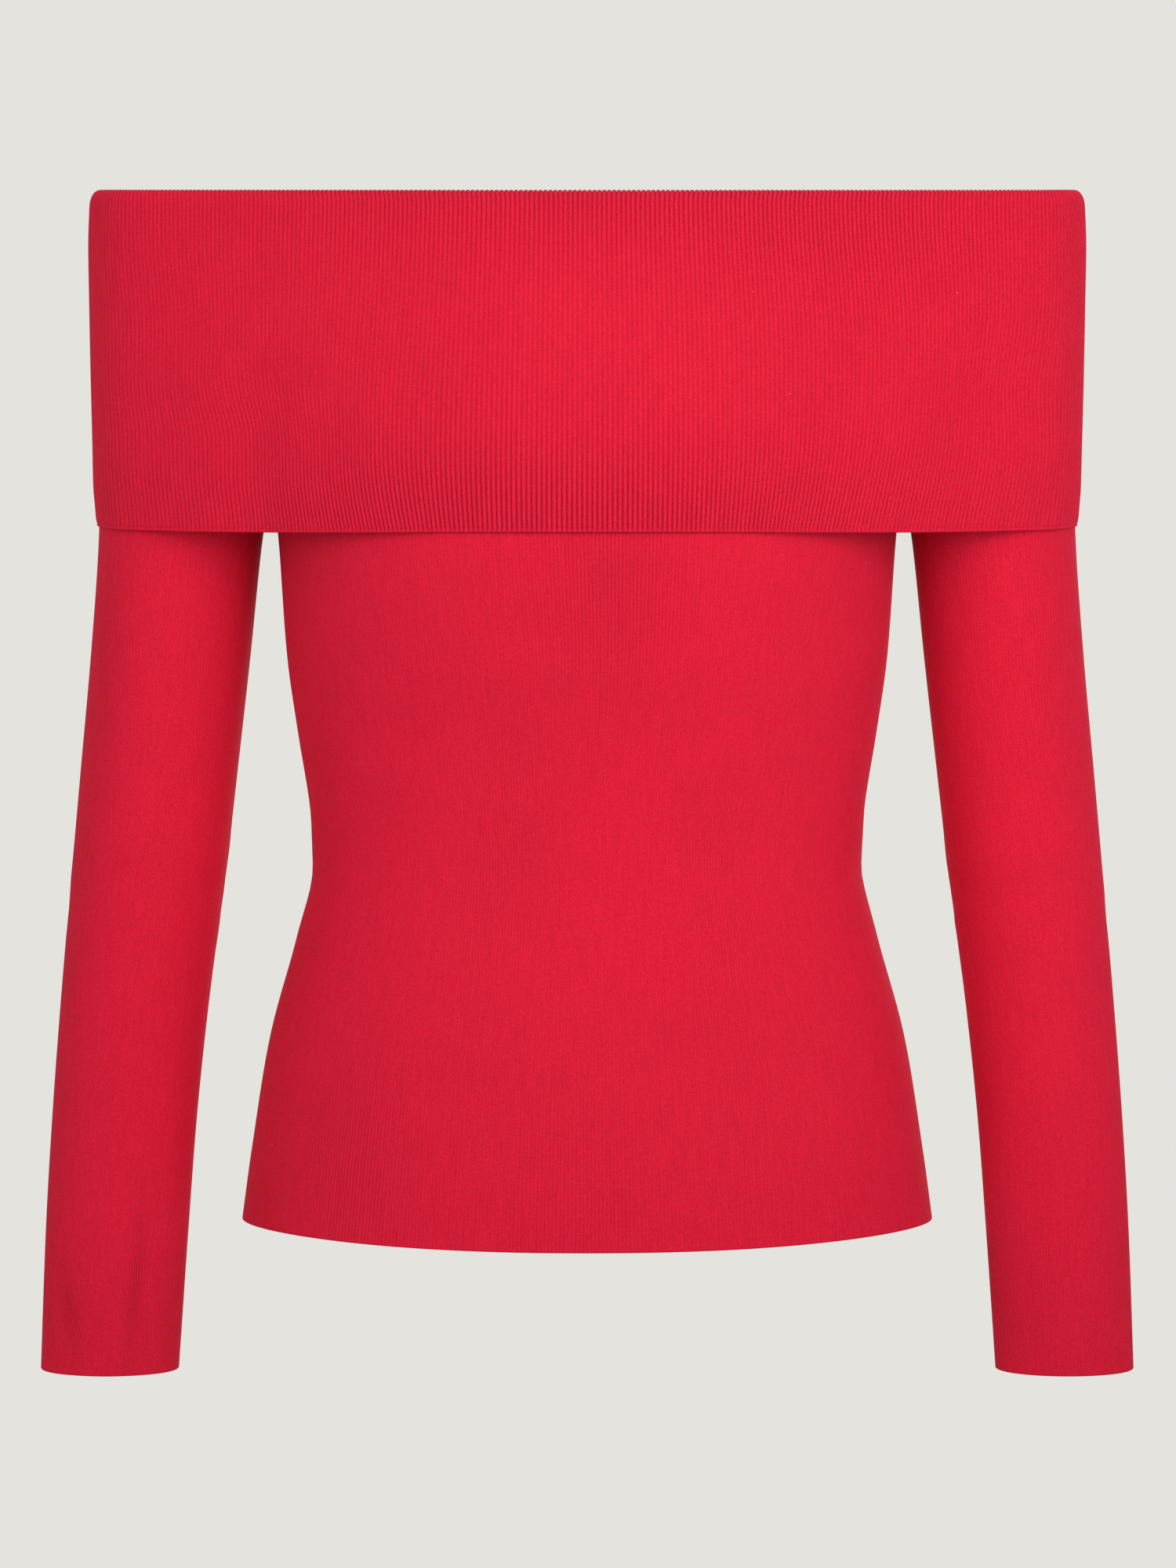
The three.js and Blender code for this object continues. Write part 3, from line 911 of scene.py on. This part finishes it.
# %% [markdown]
# The free edge is the start of the knitting: the ribs end in small round tips on a thin cord.
# On the fall the ribs bow where the band was pulled over the arms, most near its lower edge.

# %% Collar waves
# The columns are those of the body's tables
COLLAR_FRONT_FOLDS = (
    (-152, -122, 88, 50, 16, -2.6),
    (-96, -132, 86, 46, 20, 1.4),
    (176, -126, 92, 40, 20, -1.4),
    (-172, -84, 42, 32, 8, 0.9),
    (-150, -96, 42, 28, 8, -0.7),
    (-205, -118, 12, 40, 12, 0.6),
    (-30, -118, 4, 120, 14, 0.6),
    (150, -110, -14, 60, 14, 0.4),
    (206, -66, -40, 30, 9, 0.6),
    (-120, -40, 8, 60, 14, -0.3),
    (120, -44, -6, 60, 14, -0.3),
)
COLLAR_BACK_FOLDS = (
    (-168, -122, 90, 44, 20, -1.6),
    (166, -120, 90, 46, 20, -1.8),
    (-150, -90, 30, 40, 9, 0.7),
    (-120, -100, 26, 34, 9, -0.6),
    (120, -96, -28, 40, 9, 0.7),
    (20, -120, 0, 120, 13, 0.7),
    (200, -115, -12, 40, 12, 0.5),
)
COLLAR_FRONT_LEANS = (
    (-178, -108, 60, 18, 6.0),
    (-182, -136, 66, 24, 6.5),
    (-184, -168, 76, 28, 10.0),
    (-98, -168, 50, 26, 4.5),
    (-85, -104, 30, 34, -2.0),
    (-200, -66, 50, 30, 3.5),
    (186, -166, 80, 44, -13.0),
    (104, -168, 50, 32, -5.0),
    (124, -66, 60, 40, 1.8),
    (205, -88, 34, 24, -5.0),
)
COLLAR_BACK_LEANS = (
    (-180, -166, 80, 42, 11.0),
    (-96, -168, 50, 30, 4.0),
    (184, -166, 80, 44, -11.0),
    (100, -168, 50, 30, -4.0),
    (-40, -70, 30, 34, 1.5),
    (170, -60, 60, 40, -3.0),
)
COLLAR_FRONT_OPEN = (
    (15, 0, 0, 180, 34, 0.65),
    (0, -146, 0, 175, 36, 0.85),
    (140, -30, 0, 90, 60, 0.3),
    (0, -80, 0, 150, 40, 0.1),
)
COLLAR_BACK_OPEN = (
    (0, 0, 0, 200, 34, 0.6),
    (0, -142, 0, 150, 36, 0.7),
)


# %% Collar pieces
def collar_piece(name, start, fold_table, lean_table, open_table):
    """One half of the band, starting at the left side for the front and the right for the back."""
    offset, level, sideways, upwards, shown_inset, hidden_inset = collar_path()
    falls = np.isclose(sideways, 1)
    at = level[:, None]
    on_fall = (smooth((FOLD_FOOT - level) / FALL_STARTS_OVER) * falls)[:, None]
    above_edge = (level - BAND_EDGE)[:, None]
    cord = EDGE_CORD_HEIGHT * np.exp(-((above_edge - EDGE_CORD) / EDGE_LINE_WIDTH) ** 2)
    groove = EDGE_GROOVE_DEPTH * np.exp(-((above_edge - EDGE_GROOVE) / EDGE_LINE_WIDTH) ** 2)
    tuck_top = smooth((TUCK_TOP - above_edge) / TUCK_OVER)
    tuck_foot = smooth((TUCK_FOOT - above_edge) / TUCK_FOOT)
    drawn_in = SIDE_TUCK * tuck_top + SIDE_TUCK * tuck_foot
    tips = smooth((above_edge - EDGE_GROOVE + TIPS_BELOW_GROOVE) / TIPS_OVER)
    ends_at_cord = np.where(falls[:, None], tips, 1)

    def pull(along, at):
        """The leans of the fall, and above it what keeps the ribs upright on a slanting flank."""
        flank = np.clip(along / FLANK_FULL_AT, -1, 1)
        flank = flank * smooth((FLANK_ENDS_AT - np.abs(along)) / FLANK_FADES_OVER)
        upright = UPRIGHT * (FALL["offset"][1] - offset[:, None]) * flank
        return leans(lean_table)(along, at) * on_fall + upright

    def face(places, profile, inset):
        """Points of a face in mm, and how open its ribs are: from the hull out by the path's
        offset, and on along its outward direction by waves, cord, ribs and inset. Where the
        fall is tucked in at the sides, it is pressed thin and stays clear of the sleeve."""
        shares = np.broadcast_to(places / COLLAR_WALES, (len(level), len(places)))
        (x, y, nx, ny), along = spread(hull_reach, level, start, start + math.pi, shares, pull)
        opened = np.clip(COLLAR_CLOSED + folds(open_table, along, at), 0, MOST_OPEN)
        ribs = COLLAR_RELIEF * opened * profile * ends_at_cord
        side = smooth((np.abs(x) - SIDE_STARTS_AT) / SIDE_OVER)
        edge = (cord * (1 - CORD_NOTCH * profile) - groove) * (1 - SIDE_SMOOTHS_EDGE * side)
        edge = edge * (profile.max() > 0)
        out = (folds(fold_table, along, at) + edge - drawn_in * side) * on_fall
        out = out - ribs - inset[:, None]
        aside = offset[:, None] + out * sideways[:, None]
        tucked = falls[:, None] & (side > 0)
        aside = np.where(tucked, np.maximum(aside, CLEAR_OF_SLEEVE), aside)
        x, y = x + aside * nx, y + aside * ny
        z = at + out * upwards[:, None] + band_drop(at, y) - band_sag(at, y) * on_fall
        return np.stack([x, y, z], axis=2), opened

    columns = wale_columns(COLLAR_WALES, COLLAR_PHASES)
    few = columns[::COLLAR_SKIP]
    shown, opened = face(columns, furrow_depth(columns), shown_inset)
    hidden, _ = face(few, np.zeros(len(few)), hidden_inset)
    flat, _ = face(few, np.zeros(len(few)), shown_inset * 0)
    way = np.append(0, np.cumsum(np.hypot(np.diff(offset), np.diff(level))))
    made = shell(name, shown, hidden, columns, COLLAR_SKIP, way, opened, (collar_face, reverse))
    return made, cut_of(flat)


collar_front, collar_front_cut = collar_piece(
    "knit_collar_front", -math.pi, COLLAR_FRONT_FOLDS, COLLAR_FRONT_LEANS, COLLAR_FRONT_OPEN)
collar_back, collar_back_cut = collar_piece(
    "knit_collar_back", 0, COLLAR_BACK_FOLDS, COLLAR_BACK_LEANS, COLLAR_BACK_OPEN)
print("collar cuts in mm", [round(1000 * v, 1) for v in (*collar_front_cut[:2], *collar_back_cut[:2])])

# %% [markdown]
# ## Place in the frame
#
# Each piece stands for its CAD node and rides with the garment's one body.

PIECES = (
    (front, "body_front", "body_knit", "hung", ["knit_collar_front"], front_cut),
    (back, "body_back", "body_knit", "hung", ["knit_collar_back"], back_cut),
    (left, "sleeve_left", "sleeve_knit", "hung", ["knit_collar_front"], sleeve_cut),
    (right, "sleeve_right", "sleeve_knit", "hung", ["knit_collar_front"], sleeve_cut),
    (collar_front, "collar_front", "collar_knit", "folded", ["knit_body_front"], collar_front_cut),
    (collar_back, "collar_back", "collar_knit", "folded", ["knit_body_back"], collar_back_cut),
)
for made, node, slot, held, rests_on, cut in PIECES:
    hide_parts(node)
    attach(made, "root")
    print(made.name, "flat in mm", round(1000 * cut[0]), round(1000 * cut[1]), "area", round(cut[2], 4))

# %% [markdown]
# ## Studio
#
# The picture has one flat pale tone behind the garment, with no floor line. A floor that turns
# up into a wall all the way round gives that from every side. It shines by itself and takes no
# light, so that the lamps' unevenness doesn't show on it. From below and outside it is clear, so
# that the open hem can be looked into.

# %% Floor and backdrop in one
FLOOR_LEVEL = -0.95
FLOOR_RADIUS = 5.0
FLOOR_RINGS = 8
SWEEP_RADIUS = 1.5
SWEEP_RINGS = 13
WALL_TOP = 5.0
POINTS_ROUND = 97
BACKDROP = "E4E3DE"


def sweep_points():
    """A profile turned round the Z axis: a flat floor, a quarter circle and an upright wall."""
    turn = np.radians(np.linspace(0, 90, SWEEP_RINGS))[1:]
    floor_radius = np.linspace(0, FLOOR_RADIUS, FLOOR_RINGS)
    sweep_radius = FLOOR_RADIUS + SWEEP_RADIUS * np.sin(turn)
    radius = np.concatenate([floor_radius, sweep_radius, [FLOOR_RADIUS + SWEEP_RADIUS]])
    sweep_height = SWEEP_RADIUS * (1 - np.cos(turn))
    height = FLOOR_LEVEL + np.concatenate([np.zeros(FLOOR_RINGS), sweep_height, [WALL_TOP]])
    angle = np.linspace(0, 2 * math.pi, POINTS_ROUND)
    return np.stack([radius[:, None] * np.cos(angle), radius[:, None] * np.sin(angle),
                     np.broadcast_to(height[:, None], (len(height), len(angle)))], axis=2)


studio_points = sweep_points()
studio_index = np.arange(studio_points.shape[0] * studio_points.shape[1]).reshape(
    studio_points.shape[:2])
studio_mesh = bpy.data.meshes.new("studio")
studio_mesh.from_pydata(studio_points.reshape(-1, 3), [], grid_faces(studio_index).tolist())
studio_mesh.shade_smooth()
card, card_tree, card_output = new_material("studio_card")
glow = add(card_tree, "ShaderNodeEmission", {}, {"Color": linear(BACKDROP), "Strength": 1.0})
clear = add(card_tree, "ShaderNodeBsdfTransparent")
from_behind = add(card_tree, "ShaderNodeNewGeometry").outputs["Backfacing"]
one_way = add(card_tree, "ShaderNodeMixShader", {}, {
    0: from_behind, 1: glow.outputs[0], 2: clear.outputs[0]})
card_tree.links.new(one_way.outputs[0], card_output.inputs["Surface"])
studio_mesh.materials.append(card)
studio = bpy.data.objects.new("studio", studio_mesh)
bpy.context.scene.collection.objects.link(studio)
for rays in ("diffuse", "glossy", "shadow", "transmission"):
    setattr(studio, f"visible_{rays}", False)
print("studio faces", len(studio_mesh.polygons))

# %% [markdown]
# ## Light
#
# The light is soft and nearly frontal. It comes more from the right, and both front lamps have
# a narrowed beam that is aimed at the band, so the left side, the hem and the cuffs are a little
# darker. The world lights the cloth with a share of the tone that it shows to the camera.

# %% Soft boxes
# Each lamp: its name, place and size in metres, power in watts, and beam in degrees
LAMPS = (
    ("key", (0.6, -1.0, 0.08), 0.9, 1.83, 70),
    ("fill", (-0.65, -1.15, 0.1), 1.1, 1.33, 70),
    ("top", (0.1, -0.1, 1.5), 1.2, 4, 180),
    ("behind", (0.3, 2.0, 0.4), 1.8, 30, 180),
)
AIM = Vector((0.05, 0, -0.06))
WORLD_LIGHT = 0.68
for name, place, size, power, beam in LAMPS:
    lamp = bpy.data.lights.new(name, "AREA")
    lamp.shape = "DISK"
    lamp.size = size
    lamp.energy = power
    lamp.spread = math.radians(beam)
    lamp_object = bpy.data.objects.new(name, lamp)
    lamp_object.location = place
    lamp_object.rotation_mode = "QUATERNION"
    lamp_object.rotation_quaternion = (AIM - Vector(place)).to_track_quat("-Z", "Y")
    lamp_object.visible_camera = False
    bpy.context.scene.collection.objects.link(lamp_object)
world = bpy.data.worlds.new("world")
world.use_nodes = True
world.node_tree.nodes.clear()
seen = add(world.node_tree, "ShaderNodeLightPath").outputs["Is Camera Ray"]
strength = calc(world.node_tree, "MULTIPLY_ADD", seen, 1 - WORLD_LIGHT, WORLD_LIGHT)
background = add(world.node_tree, "ShaderNodeBackground", {}, {
    "Color": linear(BACKDROP), "Strength": strength})
world_output = add(world.node_tree, "ShaderNodeOutputWorld")
world.node_tree.links.new(background.outputs[0], world_output.inputs["Surface"])
bpy.context.scene.world = world
print("lamps", len(LAMPS))
